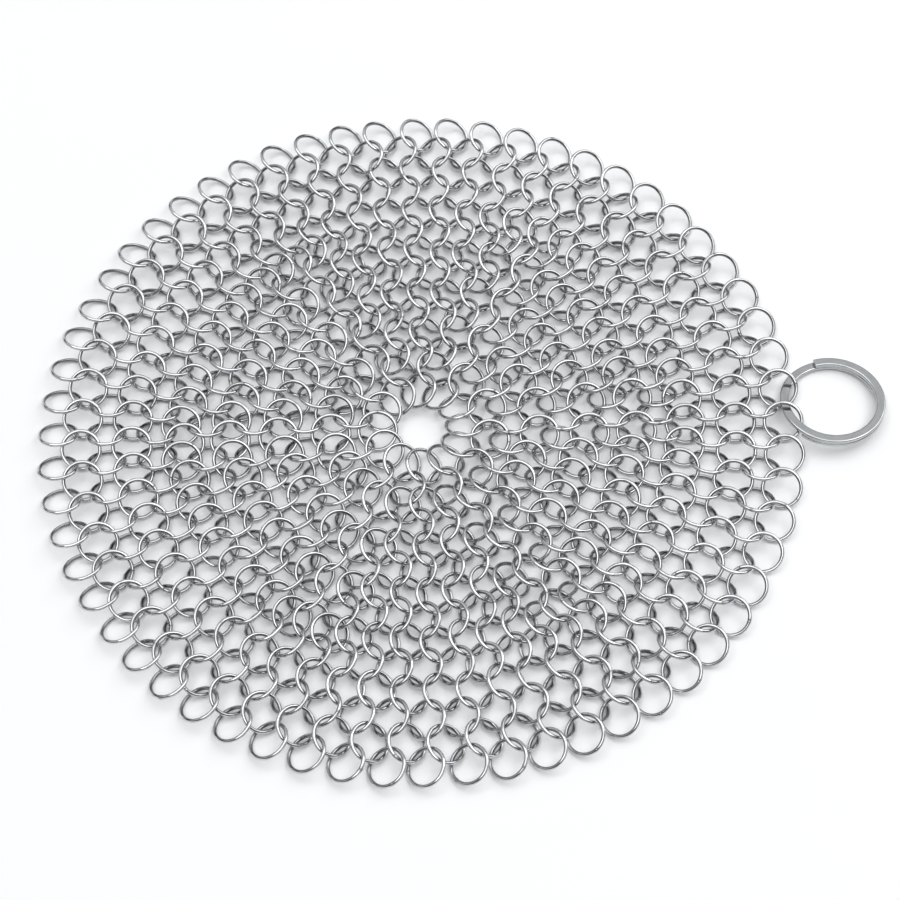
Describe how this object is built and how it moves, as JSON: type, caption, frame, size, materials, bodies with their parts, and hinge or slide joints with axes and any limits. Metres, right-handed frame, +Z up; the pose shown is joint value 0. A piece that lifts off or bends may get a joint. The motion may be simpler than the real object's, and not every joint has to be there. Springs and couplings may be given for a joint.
{
  "type": "pot scrubber",
  "caption": "Round chain-mail pot scrubber: small steel wire links woven in rounds round an open centre, with a flat split ring on the rim to hang it by.",
  "frame": {"origin": "middle of the open centre, on the surface that the mail lies on", "axes": "+Z up out of the mail as it lies flat, +X from the centre to the split ring"},
  "size_m": [0.1944, 0.1742, 0.0049],
  "materials": {
    "link_wire": "bright tumbled stainless steel wire",
    "ring_wire": "bright flat stainless steel wire"
  },
  "bodies": {
    "ring_side": {"ring_side_round_01": "link_wire", "ring_side_round_02": "link_wire", "ring_side_round_03": "link_wire", "ring_side_round_04": "link_wire", "ring_side_round_05": "link_wire", "ring_side_round_06": "link_wire", "ring_side_round_07": "link_wire", "ring_side_round_08": "link_wire", "ring_side_round_09": "link_wire", "ring_side_round_10": "link_wire", "ring_side_round_11": "link_wire", "ring_side_round_12": "link_wire", "ring_side_round_13": "link_wire", "ring_side_round_14": "link_wire"},
    "far_side": {"far_side_round_01": "link_wire", "far_side_round_02": "link_wire", "far_side_round_03": "link_wire", "far_side_round_04": "link_wire", "far_side_round_05": "link_wire", "far_side_round_06": "link_wire", "far_side_round_07": "link_wire", "far_side_round_08": "link_wire", "far_side_round_09": "link_wire", "far_side_round_10": "link_wire", "far_side_round_11": "link_wire", "far_side_round_12": "link_wire", "far_side_round_13": "link_wire", "far_side_round_14": "link_wire"},
    "hanging_links": {"hanging_link_left": "link_wire", "hanging_link_right": "link_wire"},
    "split_ring": {"split_ring": "ring_wire"}
  },
  "joints": [
    {"name": "mail_fold", "type": "hinge", "parent": "ring_side", "child": "far_side", "pos_m": [0, 0, 0.00115], "axis": [-0.0175, 0.9998, 0], "range_deg": [0, 30]},
    {"name": "hanging_links_swing", "type": "hinge", "parent": "ring_side", "child": "hanging_links", "pos_m": [0.0804, 0, 0.0022], "axis": [0, -1, 0], "range_deg": [-12, 12]},
    {"name": "split_ring_swing", "type": "hinge", "parent": "hanging_links", "child": "split_ring", "pos_m": [0.0852, 0, 0.0022], "axis": [0, -1, 0], "range_deg": [-12, 16]}
  ]
}
